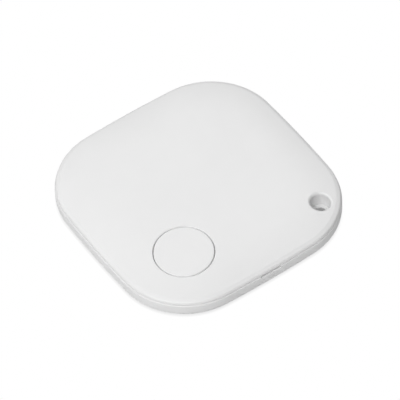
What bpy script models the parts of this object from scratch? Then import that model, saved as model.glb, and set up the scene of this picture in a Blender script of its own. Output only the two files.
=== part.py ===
"""Bluetooth tracker tag: thin rounded-square case, push button, lanyard hole, coin cell and sounder.

Frame: metres, +Z up, origin at the centre of the flat underside. The button is near the -X -Y corner, the
lanyard hole is in the +X -Y corner and the pry slot is in the middle of the -Y side.

Motion: the cover (top shell, button and sounder) unclips and lifts along +Z, the button presses in along
-Z and drives the plunger of the tactile switch, and the coin cell lifts out along +Z once the cover is off.
"""

import math

import bmesh
import bpy
from mathutils import Matrix, Vector

MM = 0.001

# Outline of the tag: four corner arcs joined by sides that bow outwards very slightly.
SIDE = 43.0 * MM
CORNER_RADIUS = 12.9 * MM
SIDE_RADIUS = 230.0 * MM
CORNER_STEPS = 13
SIDE_STEPS = 2

# Heights above the underside.
FLOOR = 0.65 * MM
HOLE_LEDGE = 1.0 * MM
SEAL_LEDGE = 1.55 * MM
BOARD_BOTTOM = 1.2 * MM
BOARD_TOP = 2.0 * MM
SKIRT_BOTTOM = 2.17 * MM
SLOT_FLOOR = 2.28 * MM
BOTTOM_SHELL_TOP = 2.6 * MM
COVER_BOTTOM = 2.68 * MM
RIM = 3.42 * MM
THICKNESS = 4.45 * MM

# Dome of the cover: a gentle crown, a falloff over the outer third, and a rounded rim. RIM is the height
# where the dome would meet the outline if its rim were sharp. The cover stands in from the side wall by
# COVER_STEP.
CROWN = 0.45 * MM
FALLOFF = THICKNESS - RIM - CROWN
FALLOFF_START = 0.67
COVER_WALL = 0.6 * MM
COVER_OVERLAP = 0.1 * MM
RIM_ROUND = 0.55 * MM
RIM_STEPS = 4
COVER_STEP = 0.14 * MM

# Insets from the outline, for the walls that stand one inside the other.
SIDE_WALL = 1.2 * MM
SEAL_OUTER = 1.35 * MM
SKIRT_OUTER = 1.5 * MM
SEAL_INNER = 2.05 * MM
LEDGE_INNER = 2.1 * MM
SKIRT_INNER = 2.15 * MM
BOARD_EDGE = 2.4 * MM
BASE_FILLET = 0.94 * MM
TOP_EDGE_ROUND = 0.25 * MM

# Lanyard hole: a tube under the cover stands in a collar of the bottom shell, outside the seal.
HOLE_AT = Vector((15.0, -15.0, 0.0)) * MM
HOLE_RADIUS = 1.75 * MM
HOLE_MOUTH_ROUND = 0.5 * MM
HOLE_TUBE_RADIUS = 2.35 * MM
HOLE_LOWER_RADIUS = 1.05 * MM
HOLE_LEAD_IN = 0.3 * MM
HOLE_COLLAR = (2.5 * MM, 2.9 * MM)
SEAL_DETOUR = (3.0 * MM, 3.7 * MM)
SKIRT_DETOUR = (3.1 * MM, 3.75 * MM)
LEDGE_DETOUR = 3.8 * MM
BOARD_DETOUR = 4.05 * MM

# Pry slot, in the top edge of the side wall.
SLOT_LENGTH = 4.1 * MM
SLOT_DEPTH = 0.85 * MM

# Clip beads: two on each side, on the skirt of the cover, and a groove for each in the side wall.
BEAD_LENGTH = 4.0 * MM
BEAD_PLACE = 5.5 * MM
BEAD_INSET = 1.3 * MM
BEAD_HEIGHTS = (2.2 * MM, 2.42 * MM)
BEAD_PLAY = 0.05 * MM

# Posts that carry the board: a wide foot, and a pin through the board with a melted head.
BOARD_POSTS = [Vector((-15.5, 14.9, 0)) * MM]
BOARD_POSTS += [Vector((-5.2, 17.4, 0)) * MM]
BOARD_POSTS += [Vector((-17.4, -3.9, 0)) * MM]
BOARD_POSTS += [Vector((16.5, -6.3, 0)) * MM]
BOARD_POSTS += [Vector((-2.6, -17.3, 0)) * MM]
POST_RADIUS = 1.0 * MM
PIN_RADIUS = 0.5 * MM
SUNK = 0.2 * MM

# Push button.
BUTTON_AT = Vector((-10.05, -10.25, 0.0)) * MM
BUTTON_RADIUS = 5.18 * MM
BUTTON_GAP = 0.09 * MM
BUTTON_FLANGE_RADIUS = 5.9 * MM
BUTTON_FLANGE = (3.06 * MM, 3.3 * MM)
BUTTON_BOSS_RADIUS = 1.2 * MM

# Coin cell, 20.0 mm across and 2.5 mm thick.
CELL_AT = Vector((7.3, 7.0, 0.0)) * MM
CELL_BOTTOM = 0.85 * MM
CELL_TOP = CELL_BOTTOM + 2.5 * MM
CELL_CUTOUT = 10.45 * MM
CRADLE = (10.15 * MM, 10.75 * MM)
CONTACT_TURN = math.radians(225)
CONTACT_ALONG = Vector((math.cos(CONTACT_TURN), math.sin(CONTACT_TURN), 0))

# Sounder, under the cover.
SOUNDER_AT = Vector((-10.5, 8.6, 0.0)) * MM
SOUNDER_RADIUS = 7.5 * MM
SOUNDER_DISC = (3.0 * MM, 3.11 * MM)
SOUNDER_SEAT = 3.25 * MM
CERAMIC_RADIUS = 5.5 * MM
CERAMIC_THICKNESS = 0.13 * MM

# Tactile switch, on the board under the button.
SWITCH_SIDE = 3.6 * MM
SWITCH_BASE_TOP = 2.63 * MM
SWITCH_COVER_TOP = 2.75 * MM
PLUNGER_TOP = 2.98 * MM

CLEARANCE = 0.03 * MM
ROUND_STEPS = 40

WHITE_PLASTIC = (0.83, 0.83, 0.82)
INNER_WHITE = (0.78, 0.78, 0.77)
SILICONE_GREY = (0.30, 0.31, 0.33)
FOAM_BLACK = (0.03, 0.03, 0.03)
BRASS = (0.78, 0.57, 0.27)
PIEZO_CREAM = (0.82, 0.78, 0.68)
TAPE = (0.90, 0.88, 0.80)
STEEL = (0.62, 0.62, 0.63)
NICKEL = (0.70, 0.69, 0.66)
GOLD = (0.83, 0.62, 0.30)
BOARD_GREEN = (0.02, 0.16, 0.08)
CHIP_BLACK = (0.02, 0.02, 0.022)
FERRITE = (0.09, 0.09, 0.10)
CAPACITOR_TAN = (0.42, 0.30, 0.18)
CERAMIC_WHITE = (0.80, 0.82, 0.84)
CATHODE_BLACK = (0.04, 0.04, 0.04)
LITHIUM = (0.55, 0.55, 0.56)
SEPARATOR_WHITE = (0.9, 0.9, 0.9)
GASKET_BLACK = (0.05, 0.05, 0.05)

HALF = SIDE / 2
SIDE_SETBACK = SIDE_RADIUS - HALF
# The corner arc touches both side arcs, so the place of its centre follows from the two radii.
ARC_SPACING = SIDE_RADIUS - CORNER_RADIUS
CORNER_AT = (math.sqrt(2 * ARC_SPACING**2 - SIDE_SETBACK**2) - SIDE_SETBACK) / 2
SIDE_TURN = math.atan2(CORNER_AT, CORNER_AT + SIDE_SETBACK)


def outline(inset=0.0):
    """Points of the tag's outline, moved inwards by inset, anticlockwise from the +X side."""
    quarter = []
    for i in range(SIDE_STEPS):
        angle = -SIDE_TURN + 2 * SIDE_TURN * i / SIDE_STEPS
        radius = SIDE_RADIUS - inset
        quarter.append(Vector((radius * math.cos(angle) - SIDE_SETBACK, radius * math.sin(angle), 0)))
    for i in range(CORNER_STEPS):
        angle = SIDE_TURN + (math.pi / 2 - 2 * SIDE_TURN) * i / CORNER_STEPS
        radius = CORNER_RADIUS - inset
        quarter.append(Vector((CORNER_AT + radius * math.cos(angle), CORNER_AT + radius * math.sin(angle), 0)))
    return [Matrix.Rotation(turn * math.pi / 2, 3, "Z") @ p for turn in range(4) for p in quarter]


def outline_ring(inset, z, share=1.0):
    return [Vector((p.x * share, p.y * share, z)) for p in outline(inset)]


def circle(radius, z, steps=ROUND_STEPS):
    angles = [2 * math.pi * i / steps for i in range(steps)]
    return [Vector((radius * math.cos(a), radius * math.sin(a), z)) for a in angles]


def dome_height(share):
    """Height of the dome, where share is 0 at the centre and 1 at the outline."""
    past = max(0.0, (share - FALLOFF_START) / (1 - FALLOFF_START))
    return THICKNESS - CROWN * share**2 - FALLOFF * past**2


def dome_share(place):
    """Share of the way from the centre to the outline, at a place that faces a corner arc."""
    along = place.xy.normalized()
    corner = Vector((math.copysign(CORNER_AT, place.x), math.copysign(CORNER_AT, place.y)))
    middle = along.dot(corner)
    reach = middle + math.sqrt(middle**2 - corner.length_squared + (CORNER_RADIUS - COVER_STEP) ** 2)
    return place.xy.length / reach


def material(name, colour, roughness, metallic):
    made = bpy.data.materials.new(name)
    made.use_nodes = True
    shader = made.node_tree.nodes["Principled BSDF"]
    shader.inputs["Base Color"].default_value = (*colour, 1)
    shader.inputs["Roughness"].default_value = roughness
    shader.inputs["Metallic"].default_value = metallic
    return made


def new_object(name, bm, colour=WHITE_PLASTIC, roughness=0.45, metallic=0.0):
    mesh = bpy.data.meshes.new(name)
    bmesh.ops.recalc_face_normals(bm, faces=bm.faces)
    bm.to_mesh(mesh)
    bm.free()
    mesh.shade_smooth()
    mesh.set_sharp_from_angle(angle=math.radians(35))
    mesh.materials.append(material(name, colour, roughness, metallic))
    made = bpy.data.objects.new(name, mesh)
    bpy.context.collection.objects.link(made)
    return made


def loft(name, rings, closed=False, **look):
    """One closed body through rings of equally many points: capped at its ends, or closed on itself."""
    bm = bmesh.new()
    loops = [[bm.verts.new(p) for p in ring] for ring in rings]
    following = loops[1:] + loops[:1] if closed else loops[1:]
    for near, far in zip(loops, following):
        for i in range(len(near)):
            j = (i + 1) % len(near)
            bm.faces.new((near[i], near[j], far[j], far[i]))
    if not closed:
        bm.faces.new(loops[0])
        bm.faces.new(loops[-1])
    return new_object(name, bm, **look)


def turned(name, at, profile, closed=False, steps=ROUND_STEPS, **look):
    """A round piece from a profile of (radius, height) points, with its origin on its own axis."""
    made = loft(name, [circle(radius, z, steps) for radius, z in profile], closed, **look)
    made.location = at
    return made


def cylinder(name, at, radius, low, high, **look):
    return turned(name, at, [(radius, low), (radius, high)], **look)


def tube(name, at, radii, low, high, **look):
    inner, outer = radii
    profile = [(inner, low), (outer, low), (outer, high), (inner, high)]
    return turned(name, at, profile, closed=True, **look)


def prism(name, inset, low, high, **look):
    return loft(name, [outline_ring(inset, low), outline_ring(inset, high)], **look)


def block(name, at, size, low, turn=0.0, edge=0.0, **look):
    """A box that stands at the height low, turned about Z, with its upright and top edges rounded by edge."""
    bm = bmesh.new()
    bmesh.ops.create_cube(bm, size=1)
    bmesh.ops.scale(bm, vec=size, verts=bm.verts)
    bmesh.ops.translate(bm, vec=(0, 0, size[2] / 2), verts=bm.verts)
    if edge:
        lifted = [e for e in bm.edges if max(v.co.z for v in e.verts) > size[2] / 2]
        bmesh.ops.bevel(bm, geom=lifted, offset=edge, segments=1, affect="EDGES")
    made = new_object(name, bm, **look)
    made.location = (at[0], at[1], low)
    made.rotation_euler.z = turn
    return made


def bent_strip(name, at, turn, path, thickness, width, **look):
    """Sheet metal of one thickness, bent along a path of (distance, height) points."""
    points = [Vector(p) for p in path]
    left, right = [], []
    for i, p in enumerate(points):
        before = (p - points[i - 1]).normalized() if i else (points[1] - p).normalized()
        after = (points[i + 1] - p).normalized() if i + 1 < len(points) else before
        along = (before + after).normalized()
        across = Vector((-along.y, along.x)) * thickness / 2 / along.dot(before)
        left.append(p + across)
        right.append(p - across)
    profile = left + right[::-1]
    rings = [[Vector((p.x, side * width / 2, p.y)) for p in profile] for side in (-1, 1)]
    made = loft(name, rings, **look)
    made.location = at
    made.rotation_euler.z = turn
    return made


def dome_body(name, low, drop=0.0):
    """The solid from the height low up to the dome, lowered by drop."""
    shares = (0.06, 0.35, 0.53, FALLOFF_START, 0.75, 0.83, 0.91)
    rings = [outline_ring(COVER_STEP, dome_height(s) - drop, s) for s in shares]
    fall = (2 * CROWN + 2 * FALLOFF / (1 - FALLOFF_START)) / HALF
    lean = math.atan(fall)
    # The rim's arc is tangent to the dome, so its centre follows from the slope there.
    centre = RIM - fall * RIM_ROUND * (1 - math.sin(lean)) - RIM_ROUND * math.cos(lean)
    for i in range(RIM_STEPS + 1):
        angle = lean + (math.pi / 2 - lean) * i / RIM_STEPS
        inset = COVER_STEP + RIM_ROUND * (1 - math.sin(angle))
        rings.append(outline_ring(inset, centre + RIM_ROUND * math.cos(angle) - drop))
    rings.append(outline_ring(COVER_STEP, low))
    return loft(name, rings)


def shape(target, operation, tool):
    """Cuts target with tool, joins tool to it or keeps what they share, and hides the tool."""
    modifier = target.modifiers.new(tool.name, "BOOLEAN")
    modifier.operation = operation
    modifier.solver = "EXACT"
    modifier.object = tool
    tool.display_type = "WIRE"
    tool.hide_render = True


def cut(target, *tools):
    for tool in tools:
        shape(target, "DIFFERENCE", tool)


def join(target, *tools):
    for tool in tools:
        shape(target, "UNION", tool)


def seal_path_wall(name, insets, detours, low, high):
    """A thin wall that follows the outline and passes inside the lanyard hole."""
    wall = prism(name, insets[0], low, high)
    cut(wall, cylinder(name + "_detour", HOLE_AT, detours[0], low - MM, high + MM))
    inside = prism(name + "_inside", insets[1], low - MM, high + MM)
    cut(inside, cylinder(name + "_inside_detour", HOLE_AT, detours[1], low - 2 * MM, high + 2 * MM))
    cut(wall, inside)
    return wall


def at_clip_places(name, inset_outer, inset_inner, heights, length):
    """One block at each of the eight clip places, between two insets from the sides."""
    made = []
    low, high = heights
    for side in range(4):
        turn = side * math.pi / 2
        for shift in (-BEAD_PLACE, BEAD_PLACE):
            bow = SIDE_RADIUS - math.sqrt(SIDE_RADIUS**2 - shift**2)
            away = HALF - bow - (inset_outer + inset_inner) / 2
            at = Matrix.Rotation(turn, 3, "Z") @ Vector((away, shift, 0))
            size = (inset_inner - inset_outer, length, high - low)
            made.append(block(f"{name}_{len(made) + 1}", at, size, low, turn))
    return made


def make_bottom_shell():
    rings = []
    for i in range(5):
        angle = math.pi / 2 * i / 4
        rings.append(outline_ring(BASE_FILLET * (1 - math.sin(angle)), BASE_FILLET * (1 - math.cos(angle))))
    for i in range(3):
        angle = math.pi / 2 * i / 2
        inset = TOP_EDGE_ROUND * (1 - math.cos(angle))
        rings.append(outline_ring(inset, BOTTOM_SHELL_TOP - TOP_EDGE_ROUND * (1 - math.sin(angle))))
    shell = loft("bottom_shell", rings)
    above = BOTTOM_SHELL_TOP + MM
    main_hollow = prism("main_hollow", LEDGE_INNER, FLOOR, above)
    cut(main_hollow, cylinder("main_hollow_detour", HOLE_AT, LEDGE_DETOUR, 0, above + MM))
    cut(shell, prism("upper_hollow", SIDE_WALL, SEAL_LEDGE, above), main_hollow)
    join(shell, tube("hole_collar", HOLE_AT, HOLE_COLLAR, HOLE_LEDGE, BOTTOM_SHELL_TOP - CLEARANCE))
    cut(shell, cylinder("hole_counterbore", HOLE_AT, HOLE_COLLAR[0], HOLE_LEDGE, above))
    bore = [(HOLE_LOWER_RADIUS + 2 * HOLE_LEAD_IN, -HOLE_LEAD_IN), (HOLE_LOWER_RADIUS, HOLE_LEAD_IN)]
    bore.append((HOLE_LOWER_RADIUS, above))
    cut(shell, turned("hole_bore", HOLE_AT, bore))
    slot_at = (0, -HALF, 0)
    cut(shell, block("pry_slot", slot_at, (SLOT_LENGTH, 2 * SLOT_DEPTH, 2 * MM), SLOT_FLOOR))
    add_clip_grooves(shell)
    add_board_posts(shell)
    add_cell_cradle(shell)
    return shell


def add_clip_grooves(shell):
    low, high = BEAD_HEIGHTS
    heights = (low - BEAD_PLAY, high + BEAD_PLAY)
    length = BEAD_LENGTH + 0.4 * MM
    cut(shell, *at_clip_places("clip_groove", 0.95 * MM, SIDE_WALL + 0.1 * MM, heights, length))


def add_board_posts(shell):
    shoulder = BOARD_BOTTOM - CLEARANCE
    head = BOARD_TOP + CLEARANCE
    profile = [(POST_RADIUS, FLOOR - SUNK), (POST_RADIUS, shoulder)]
    profile += [(PIN_RADIUS, shoulder), (PIN_RADIUS, head)]
    profile += [(0.85 * MM, head), (0.7 * MM, head + 0.18 * MM), (0.35 * MM, head + 0.25 * MM)]
    for i, place in enumerate(BOARD_POSTS):
        join(shell, turned(f"board_post_{i + 1}", place, profile, steps=16))


def add_cell_cradle(shell):
    """A low ring around the cell, open where the negative contact passes."""
    cradle = tube("cell_cradle", CELL_AT, CRADLE, FLOOR - SUNK, BOARD_BOTTOM - 0.1 * MM)
    gap_at = CELL_AT + CONTACT_ALONG * CRADLE[0]
    cut(cradle, block("cradle_gap", gap_at, (4 * MM, 3.6 * MM, 2 * MM), 0, turn=CONTACT_TURN))
    join(shell, cradle)


def make_seal_ring():
    insets = (SEAL_OUTER, SEAL_INNER)
    low = SEAL_LEDGE + CLEARANCE
    high = SKIRT_BOTTOM - CLEARANCE
    seal = seal_path_wall("seal_ring", insets, SEAL_DETOUR, low, high)
    seal.data.materials[0] = material("seal_silicone", SILICONE_GREY, 0.6, 0.0)
    return seal


def make_top_shell():
    shell = dome_body("top_shell", COVER_BOTTOM)
    hollow = dome_body("cover_hollow", BOARD_TOP, COVER_WALL)
    # The hollow ends inside the skirt, so that the cover's edge is solid down to the tray.
    shape(hollow, "INTERSECT", prism("cover_hollow_bounds", SKIRT_OUTER + COVER_OVERLAP, 0, THICKNESS))
    cut(shell, hollow)
    insets = (SKIRT_OUTER, SKIRT_INNER)
    skirt = seal_path_wall("skirt", insets, SKIRT_DETOUR, SKIRT_BOTTOM, THICKNESS)
    sounder_seat = tube("sounder_seat", SOUNDER_AT, (6.5 * MM, SOUNDER_RADIUS), SOUNDER_SEAT, THICKNESS)
    hole_tube = cylinder("hole_tube", HOLE_AT, HOLE_TUBE_RADIUS, HOLE_LEDGE + CLEARANCE, THICKNESS)
    guide_low = BUTTON_FLANGE[1] + 0.1 * MM
    button_guide = tube("button_guide", BUTTON_AT, button_guide_radii(), guide_low, THICKNESS)
    for feature in (skirt, sounder_seat, hole_tube, button_guide):
        shape(feature, "INTERSECT", dome_body(feature.name + "_ceiling", 0, COVER_WALL / 2))
        join(shell, feature)
    join(shell, *at_clip_places("clip_bead", BEAD_INSET, SKIRT_INNER - 0.2 * MM, BEAD_HEIGHTS, BEAD_LENGTH))
    below = HOLE_LEDGE - MM
    cut(shell, cylinder("cover_bore", HOLE_AT, HOLE_RADIUS, below, THICKNESS + MM), make_hole_mouth())
    cut(shell, cylinder("button_opening", BUTTON_AT, BUTTON_RADIUS + BUTTON_GAP, below, THICKNESS + MM))
    return shell


def button_guide_radii():
    opening = BUTTON_RADIUS + BUTTON_GAP
    return opening - 0.2 * MM, opening + 0.6 * MM


def make_hole_mouth():
    """A cutter that rounds the hole's mouth, square to the dome around it."""
    share = dome_share(HOLE_AT)
    step = 0.01
    outward = HOLE_AT.length / share
    slope = (dome_height(share - step) - dome_height(share + step)) / (2 * step * outward)
    profile = [(HOLE_RADIUS - 0.2 * MM, -HOLE_MOUTH_ROUND)]
    for i in range(4):
        angle = math.pi / 2 * i / 3
        radius = HOLE_RADIUS + HOLE_MOUTH_ROUND * (1 - math.cos(angle))
        profile.append((radius, HOLE_MOUTH_ROUND * (math.sin(angle) - 1)))
    profile.append((profile[-1][0], MM))
    mouth = turned("hole_mouth", HOLE_AT + Vector((0, 0, dome_height(share))), profile)
    lean = Vector((HOLE_AT.x * slope, HOLE_AT.y * slope, HOLE_AT.length))
    mouth.rotation_mode = "QUATERNION"
    mouth.rotation_quaternion = Vector((0, 0, 1)).rotation_difference(lean)
    return mouth


def make_button_cap():
    """The disc is cut from the same dome as the cover, so the two are flush, and a flange keeps it in."""
    low, high = BUTTON_FLANGE
    boss_bottom = PLUNGER_TOP + CLEARANCE
    profile = [(BUTTON_BOSS_RADIUS, boss_bottom), (BUTTON_BOSS_RADIUS, low), (BUTTON_FLANGE_RADIUS, low)]
    profile += [(BUTTON_FLANGE_RADIUS, high), (BUTTON_RADIUS, high), (BUTTON_RADIUS, THICKNESS + MM)]
    cap = turned("button_cap", BUTTON_AT, profile)
    shape(cap, "INTERSECT", dome_body("button_dome", 0))
    return cap


def make_cell_pad():
    profile = [(5.6 * MM, CELL_TOP + CLEARANCE), (5.6 * MM, CELL_TOP + 0.25 * MM)]
    return turned("cell_pad", CELL_AT, profile, colour=FOAM_BLACK, roughness=0.95)


def make_sounder():
    low, high = SOUNDER_DISC
    tape_low = high + CLEARANCE / 2
    tape_high = SOUNDER_SEAT - CLEARANCE / 2
    tape = tube("sounder_adhesive", SOUNDER_AT, (6.6 * MM, 7.4 * MM), tape_low, tape_high, colour=TAPE)
    brass = {"colour": BRASS, "roughness": 0.35, "metallic": 1.0}
    disc = cylinder("sounder_disc", SOUNDER_AT, SOUNDER_RADIUS, low, high, **brass)
    top = low - CLEARANCE / 2
    bottom = top - CERAMIC_THICKNESS
    ceramic = cylinder("sounder_ceramic", SOUNDER_AT, CERAMIC_RADIUS, bottom, top, colour=PIEZO_CREAM)
    return [tape, disc, ceramic]


def make_cell():
    """Can, sealing gasket, negative cap and the three layers inside, all turned about the cell's axis."""
    steel = {"colour": STEEL, "roughness": 0.3, "metallic": 1.0}
    can = [(9.55, 2.5), (9.87, 2.4), (10.0, 2.1), (10.0, 0.25), (9.85, 0.12), (9.4, 0.1), (9.4, 0.3)]
    can += [(9.7, 0.35), (9.75, 0.5), (9.75, 2.25)]
    cap = [(8.6, 0.0), (8.82, 0.06), (8.9, 0.2), (8.9, 0.4), (9.2, 0.45), (9.2, 1.75), (8.95, 1.75)]
    cap += [(8.95, 0.65), (8.6, 0.25)]
    gasket = [(8.95, 0.13), (9.35, 0.13), (9.35, 0.37), (9.64, 0.42), (9.68, 0.55), (9.68, 2.1)]
    gasket += [(9.25, 2.1), (9.25, 0.43), (8.95, 0.37)]
    pieces = [turned("cell_can", CELL_AT, in_cell(can), **steel)]
    pieces.append(turned("cell_cap", CELL_AT, in_cell(cap), **steel))
    pieces.append(turned("cell_gasket", CELL_AT, in_cell(gasket), closed=True, colour=GASKET_BLACK))
    anode = in_cell([(8.5, 0.3), (8.5, 1.0)])
    pieces.append(turned("cell_anode", CELL_AT, anode, colour=LITHIUM, metallic=1.0))
    separator = in_cell([(8.8, 1.03), (8.8, 1.13)])
    pieces.append(turned("cell_separator", CELL_AT, separator, colour=SEPARATOR_WHITE))
    cathode = in_cell([(8.8, 1.16), (8.8, 2.2)])
    pieces.append(turned("cell_cathode", CELL_AT, cathode, colour=CATHODE_BLACK, roughness=0.9))
    return pieces


def in_cell(profile):
    """Turns millimetres above the cell's underside into metres above the tag's underside."""
    return [(radius * MM, CELL_BOTTOM + z * MM) for radius, z in profile]


def make_circuit_board():
    board = prism("circuit_board", BOARD_EDGE, BOARD_BOTTOM, BOARD_TOP)
    board.data.materials[0] = material("board_laminate", BOARD_GREEN, 0.4, 0.0)
    low = BOARD_BOTTOM - MM
    high = BOARD_TOP + MM
    cut(board, cylinder("board_hole_relief", HOLE_AT, BOARD_DETOUR, low, high))
    cut(board, cylinder("board_cell_cutout", CELL_AT, CELL_CUTOUT, low, high))
    arm = Vector((SIDE, SIDE, high - low))
    cut(board, block("board_right_relief", CELL_AT + Vector((SIDE / 2, SIDE / 2 - 9.7 * MM, 0)), arm, low))
    cut(board, block("board_back_relief", CELL_AT + Vector((SIDE / 2 - 9.4 * MM, SIDE / 2, 0)), arm, low))
    for i, place in enumerate(BOARD_POSTS):
        cut(board, turned(f"board_hole_{i + 1}", place, [(0.56 * MM, low), (0.56 * MM, high)], steps=16))
    return board


def make_contacts():
    spring = {"colour": NICKEL, "roughness": 0.3, "metallic": 1.0}
    leaf_height = FLOOR + CLEARANCE + 0.06 * MM
    under_board = BOARD_BOTTOM - CLEARANCE - 0.06 * MM
    leaf = [(0, leaf_height), (10.9 * MM, leaf_height), (11.5 * MM, under_board), (13.2 * MM, under_board)]
    negative = bent_strip("negative_contact", CELL_AT, CONTACT_TURN, leaf, 0.12 * MM, 2.6 * MM, **spring)
    pad_low = leaf_height - 0.06 * MM
    join(negative, cylinder("negative_pad", CELL_AT, 4 * MM, pad_low, pad_low + 0.12 * MM))
    foot = BOARD_TOP + CLEARANCE + 0.1 * MM
    clip = [(12.6 * MM, foot), (10.4 * MM, foot)]
    clip += [(10.22 * MM, foot + 0.15 * MM), (10.17 * MM, foot + 1.0 * MM)]
    turn = math.radians(200)
    positive = bent_strip("positive_contact", CELL_AT, turn, clip, 0.18 * MM, 3 * MM, **spring)
    return [negative, positive]


def make_sounder_springs():
    """Two bent fingers on the board: one presses on the disc's rim, one on the ceramic's electrode."""
    gold = {"colour": GOLD, "roughness": 0.3, "metallic": 1.0}
    rim_at = SOUNDER_AT + Vector((2.5, -9.2, 0)) * MM
    centre_at = SOUNDER_AT + Vector((-3.1, 0, 0)) * MM
    disc_low = SOUNDER_DISC[0]
    ceramic_low = disc_low - CLEARANCE / 2 - CERAMIC_THICKNESS
    rim = finger("sounder_spring_rim", rim_at, math.pi / 2, disc_low - CLEARANCE, **gold)
    centre = finger("sounder_spring_centre", centre_at, 0, ceramic_low - CLEARANCE, **gold)
    return [rim, centre]


def finger(name, at, turn, top, **look):
    thickness = 0.1 * MM
    foot = BOARD_TOP + CLEARANCE + thickness / 2
    tip = top - thickness / 2
    path = [(0, foot), (1.2 * MM, foot), (2.5 * MM, tip - 0.08 * MM), (3.1 * MM, tip)]
    path.append((3.6 * MM, tip - 0.15 * MM))
    return bent_strip(name, at, turn, path, thickness, 1.1 * MM, **look)


def make_switch():
    low = BOARD_TOP + CLEARANCE
    plastic = {"colour": CHIP_BLACK, "roughness": 0.5}
    steel = {"colour": STEEL, "roughness": 0.35, "metallic": 1.0}
    size = (SWITCH_SIDE, SWITCH_SIDE, SWITCH_BASE_TOP - low)
    base = block("switch_base", BUTTON_AT, size, low, edge=0.1 * MM, **plastic)
    cut(base, cylinder("switch_well", BUTTON_AT, 1.4 * MM, low + 0.1 * MM, THICKNESS))
    dome_low = low + 0.1 * MM + CLEARANCE
    sheet = 0.05 * MM
    arch = [(0.3, 0.05), (0.9, 0.03), (1.3, 0.0)]
    over = [(r * MM, dome_low + sheet + z * MM) for r, z in arch]
    under = [(r * MM, dome_low + z * MM) for r, z in reversed(arch)]
    dome = turned("switch_dome", BUTTON_AT, over + under, **steel)
    foot, shoulder = 2.46 * MM, 2.58 * MM
    wide, narrow = 1.2 * MM, 0.75 * MM
    chamfer = 0.06 * MM
    stem = [(wide, foot), (wide, shoulder), (narrow, shoulder + chamfer / 2)]
    stem += [(narrow, PLUNGER_TOP - chamfer), (narrow - chamfer, PLUNGER_TOP)]
    plunger = turned("switch_plunger", BUTTON_AT, stem, steps=24, colour=INNER_WHITE)
    lid_low = SWITCH_BASE_TOP + CLEARANCE
    size = (SWITCH_SIDE, SWITCH_SIDE, SWITCH_COVER_TOP - lid_low)
    lid = block("switch_cover", BUTTON_AT, size, lid_low, **steel)
    cut(lid, cylinder("switch_cover_hole", BUTTON_AT, 0.85 * MM, 0, THICKNESS))
    return base, dome, plunger, lid


# The board's surface parts: name, place (mm), size (mm), turn (degrees) and look.
METAL_LID = {"colour": NICKEL, "roughness": 0.35, "metallic": 1.0}
BLACK_EPOXY = {"colour": CHIP_BLACK, "roughness": 0.45}
BROWN_CHIP = {"colour": CAPACITOR_TAN, "roughness": 0.5}
WHITE_CHIP = {"colour": CERAMIC_WHITE, "roughness": 0.5}
DARK_CORE = {"colour": FERRITE, "roughness": 0.6}
BOARD_PARTS = [
    ("radio_chip", (1.9, -9.6), (6.0, 6.0, 0.85), 0, BLACK_EPOXY),
    ("main_crystal", (7.6, -7.0), (2.5, 2.0, 0.6), 90, METAL_LID),
    ("clock_crystal", (8.0, -11.3), (3.2, 1.5, 0.75), 90, METAL_LID),
    ("antenna_chip", (7.6, -17.1), (3.2, 1.6, 1.1), 0, WHITE_CHIP),
    ("boost_inductor", (-14.9, -1.6), (3.0, 3.0, 1.1), 0, DARK_CORE),
    ("driver_transistor", (-10.4, -2.3), (2.9, 1.3, 0.95), 0, BLACK_EPOXY),
    ("boost_diode", (-6.6, -2.2), (1.7, 1.25, 0.8), 90, BLACK_EPOXY),
    ("storage_capacitor", (12.2, -5.3), (3.2, 1.6, 1.2), 0, BROWN_CHIP),
    ("matching_inductor", (4.4, -16.9), (1.0, 0.5, 0.5), 0, WHITE_CHIP),
    ("matching_capacitor_1", (2.7, -16.4), (1.0, 0.5, 0.5), 90, BROWN_CHIP),
    ("matching_capacitor_2", (5.9, -15.3), (1.0, 0.5, 0.5), 90, BROWN_CHIP),
    ("supply_capacitor_1", (-2.6, -7.6), (1.0, 0.5, 0.5), 90, BROWN_CHIP),
    ("supply_capacitor_2", (-2.6, -9.8), (1.0, 0.5, 0.5), 90, BROWN_CHIP),
    ("crystal_capacitor", (10.6, -8.4), (1.0, 0.5, 0.5), 0, BROWN_CHIP),
    ("button_resistor", (-2.6, -12.0), (1.0, 0.5, 0.35), 90, BLACK_EPOXY),
    ("gate_resistor", (-10.4, -4.6), (1.0, 0.5, 0.35), 0, BLACK_EPOXY),
]


def make_board_parts():
    made = []
    for name, place, size, turn, look in BOARD_PARTS:
        at = Vector((*place, 0)) * MM
        low = BOARD_TOP + CLEARANCE
        edge = min(size) * 0.08 * MM
        made.append(block(name, at, Vector(size) * MM, low, math.radians(turn), edge, **look))
    return made


def mover(name, at, pieces, parent=None):
    """An empty on a joint's axis that carries the pieces that move together."""
    empty = bpy.data.objects.new(name, None)
    empty.location = at
    bpy.context.collection.objects.link(empty)
    if parent:
        hang(empty, parent)
    for piece in pieces:
        hang(piece, empty)
    return empty


def hang(piece, parent):
    """Parents a piece without moving it."""
    place = Vector(parent.location)
    if parent.parent:
        place = parent.matrix_parent_inverse @ place + parent.parent.location
    piece.parent = parent
    piece.matrix_parent_inverse = Matrix.Translation(-place)


def main():
    for old in list(bpy.data.objects):
        bpy.data.objects.remove(old)
    make_bottom_shell()
    make_seal_ring()
    make_circuit_board()
    make_contacts()
    make_sounder_springs()
    make_board_parts()
    plunger = make_switch()[2]
    cover = mover("cover_mover", (0, 0, 0), [make_top_shell(), make_cell_pad(), *make_sounder()])
    mover("button_mover", BUTTON_AT, [make_button_cap()], parent=cover)
    mover("plunger_mover", BUTTON_AT, [plunger])
    mover("cell_mover", CELL_AT, make_cell())


main()
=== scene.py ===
"""Looks of the bluetooth tracker tag: fine shells, materials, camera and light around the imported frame."""

import math

import bmesh
import bpy
from mathutils import Matrix, Vector


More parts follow.
